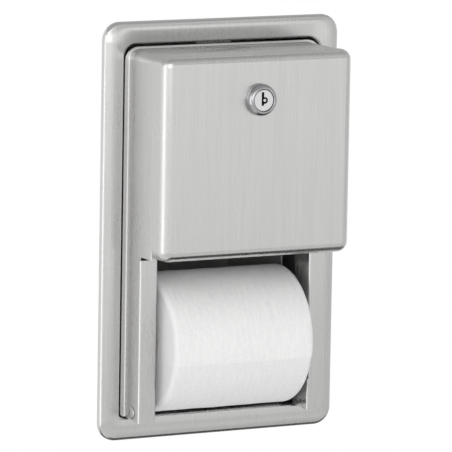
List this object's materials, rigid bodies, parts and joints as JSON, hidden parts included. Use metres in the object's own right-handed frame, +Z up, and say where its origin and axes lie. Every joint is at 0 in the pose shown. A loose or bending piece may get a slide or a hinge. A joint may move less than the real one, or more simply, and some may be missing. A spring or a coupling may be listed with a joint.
{
  "type": "recessed double roll toilet paper dispenser",
  "caption": "Recessed stainless steel toilet roll dispenser: bevelled wall flange, box-shaped locking door that swings down on long arms, roll in use below and a reserve roll behind the door.",
  "frame": {"origin": "middle of the trim flange on the face of the wall that the flange covers", "axes": "+X to the right seen from the room, +Y into the wall, +Z up"},
  "size_m": [0.2016, 0.1717, 0.3206],
  "materials": {
    "satin_stainless": "satin, brushed vertically",
    "mill_stainless": "plain mill finish",
    "rivet_stainless": "smooth",
    "spring_steel": "dark drawn wire",
    "zinc_plated": "bright plated",
    "chrome": "polished",
    "brass": "turned",
    "nylon": "smooth",
    "moulded_plastic": "moulded, fine grain",
    "tissue": "soft white tissue",
    "card": "plain wound card"
  },
  "bodies": {
    "cabinet": {"trim_flange": "satin_stainless", "cabinet_wrapper": "mill_stainless", "cabinet_back": "mill_stainless", "side_plate_left": "mill_stainless", "side_plate_right": "mill_stainless", "plate_rivet_1": "rivet_stainless", "plate_rivet_2": "rivet_stainless", "plate_rivet_3": "rivet_stainless", "plate_rivet_4": "rivet_stainless", "hinge_bracket_left": "mill_stainless", "hinge_bracket_right": "mill_stainless", "pivot_rivet_left": "rivet_stainless", "pivot_rivet_right": "rivet_stainless", "pivot_washer_left": "nylon", "pivot_washer_right": "nylon", "bracket_rivet_left_1": "rivet_stainless", "bracket_rivet_left_2": "rivet_stainless", "bracket_rivet_right_1": "rivet_stainless", "bracket_rivet_right_2": "rivet_stainless", "latch_keeper": "mill_stainless", "keeper_rivet_1": "rivet_stainless", "keeper_rivet_2": "rivet_stainless"},
    "door": {"door_frame": "satin_stainless", "door_front_pan": "satin_stainless", "door_guide_left": "mill_stainless", "door_guide_right": "mill_stainless", "lock_collar": "chrome", "lock_body": "chrome", "lock_nut": "brass"},
    "lock": {"lock_plug": "chrome", "latch_tongue": "zinc_plated", "tongue_screw": "zinc_plated"},
    "lower_roll": {"lower_roll_paper": "tissue", "lower_roll_core": "card"},
    "lower_spindle": {"lower_spindle": "moulded_plastic"},
    "reserve_roll": {"reserve_roll_paper": "tissue", "reserve_roll_core": "card"},
    "reserve_spindle": {"reserve_spindle": "moulded_plastic"},
    "release_yoke": {"release_lever_left": "mill_stainless", "release_lever_right": "mill_stainless", "cross_shaft": "mill_stainless", "lever_spring": "spring_steel", "shaft_clip_left": "spring_steel", "shaft_clip_right": "spring_steel"}
  },
  "joints": [
    {"name": "door_swing", "type": "hinge", "parent": "cabinet", "child": "door", "pos_m": [0, -0.0183, -0.137], "axis": [1, 0, 0], "range_deg": [0, 100]},
    {"name": "lock_turn", "type": "hinge", "parent": "door", "child": "lock", "pos_m": [0, -0.0426, 0.105], "axis": [0, 1, 0], "range_deg": [0, 90]},
    {"name": "lower_roll_spin", "type": "hinge", "parent": "cabinet", "child": "lower_roll", "pos_m": [0, 0.0016, -0.087], "axis": [1, 0, 0], "continuous": true},
    {"name": "lower_spindle_spin", "type": "hinge", "parent": "cabinet", "child": "lower_spindle", "pos_m": [0, 0.0016, -0.0798], "axis": [1, 0, 0], "continuous": true},
    {"name": "reserve_roll_spin", "type": "hinge", "parent": "cabinet", "child": "reserve_roll", "pos_m": [0, 0.0016, 0.0443], "axis": [1, 0, 0], "continuous": true},
    {"name": "reserve_spindle_spin", "type": "hinge", "parent": "cabinet", "child": "reserve_spindle", "pos_m": [0, 0.0016, 0.0515], "axis": [1, 0, 0], "continuous": true},
    {"name": "release_rock", "type": "hinge", "parent": "cabinet", "child": "release_yoke", "pos_m": [0, 0.0722, 0.0375], "axis": [1, 0, 0], "range_deg": [0, 25], "stiffness_Nm_per_rad": 0.8, "springref_deg": -28.65, "deforming": ["lever_spring"]}
  ]
}
